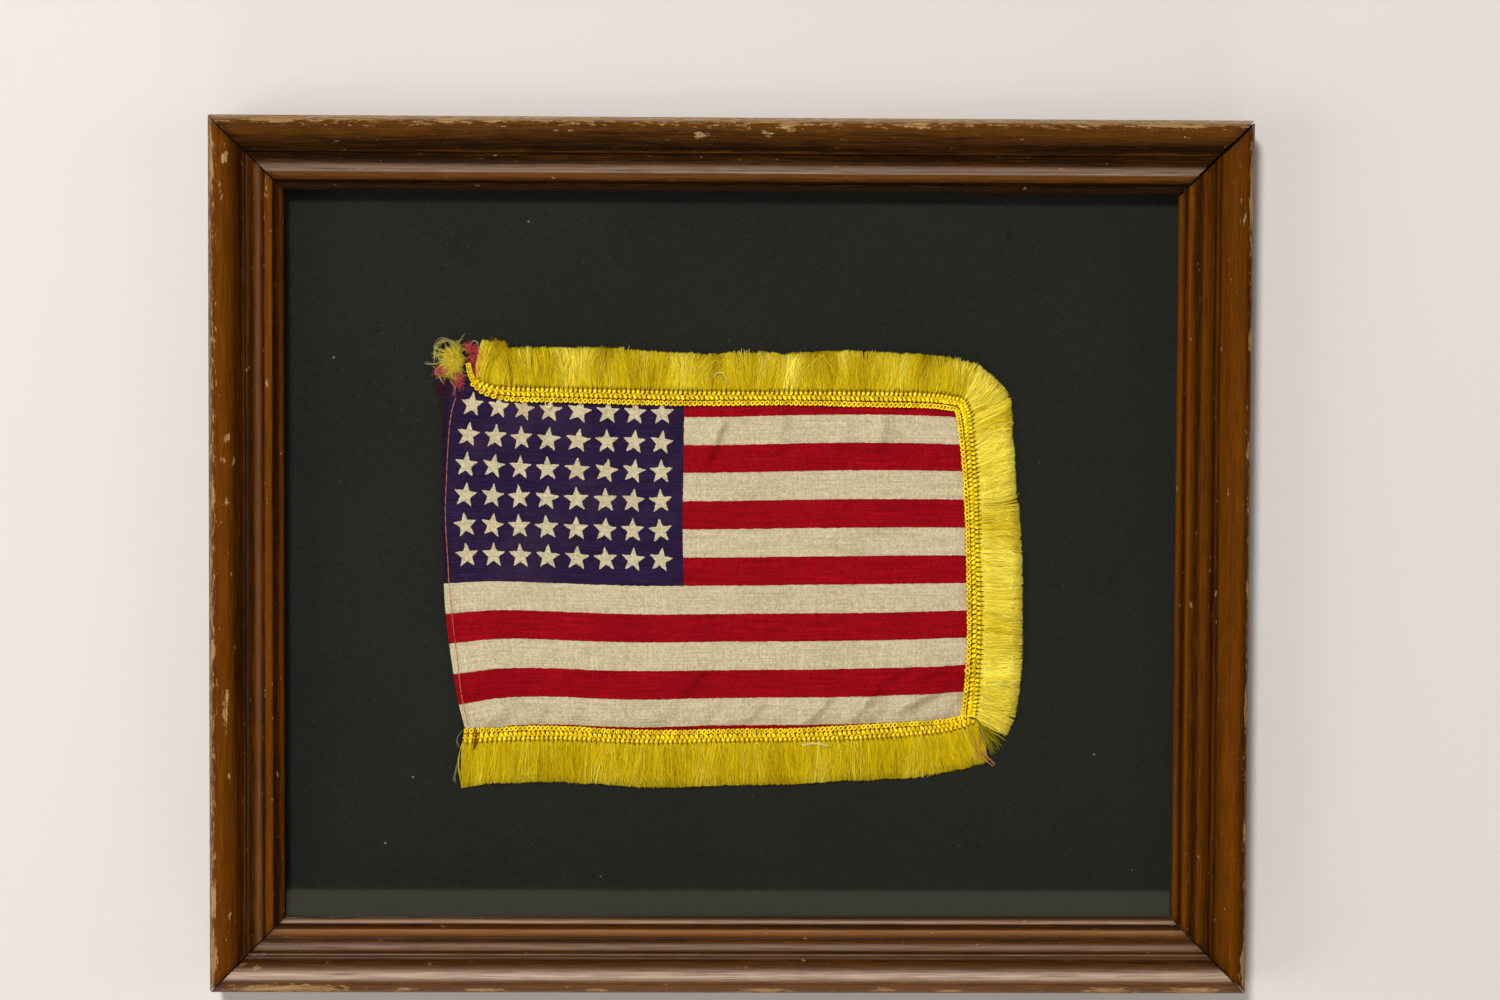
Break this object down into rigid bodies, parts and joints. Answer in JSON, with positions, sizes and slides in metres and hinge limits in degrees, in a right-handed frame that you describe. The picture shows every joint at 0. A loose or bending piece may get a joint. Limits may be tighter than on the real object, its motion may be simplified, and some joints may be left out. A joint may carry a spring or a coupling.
{
  "type": "fringed flag in a glazed picture frame",
  "caption": "Small worn cotton flag with stars, stripes and gold fringe, laid flat on a black board behind glass in a dark moulded wooden picture frame",
  "frame": {"origin": "middle of the frame's back, on the surface it lies on", "axes": "+X along the stripes from hoist to fly, +Y up the picture, +Z out through the glass"},
  "size_m": [0.285, 0.24, 0.02],
  "materials": {
    "dark_wood": "worn dark varnish",
    "clear_glass": "polished",
    "black_board": "matte",
    "printed_cotton": "matte plain weave",
    "gold_fringe": "soft sheen"
  },
  "bodies": {
    "root": {"rail_top": "dark_wood", "rail_bottom": "dark_wood", "rail_left": "dark_wood", "rail_right": "dark_wood", "glass_pane": "clear_glass", "backing_board": "black_board", "flag_cloth": "printed_cotton", "fringe_top": "gold_fringe", "fringe_fly": "gold_fringe", "fringe_foot": "gold_fringe", "frayed_corner": "gold_fringe"}
  },
  "joints": []
}
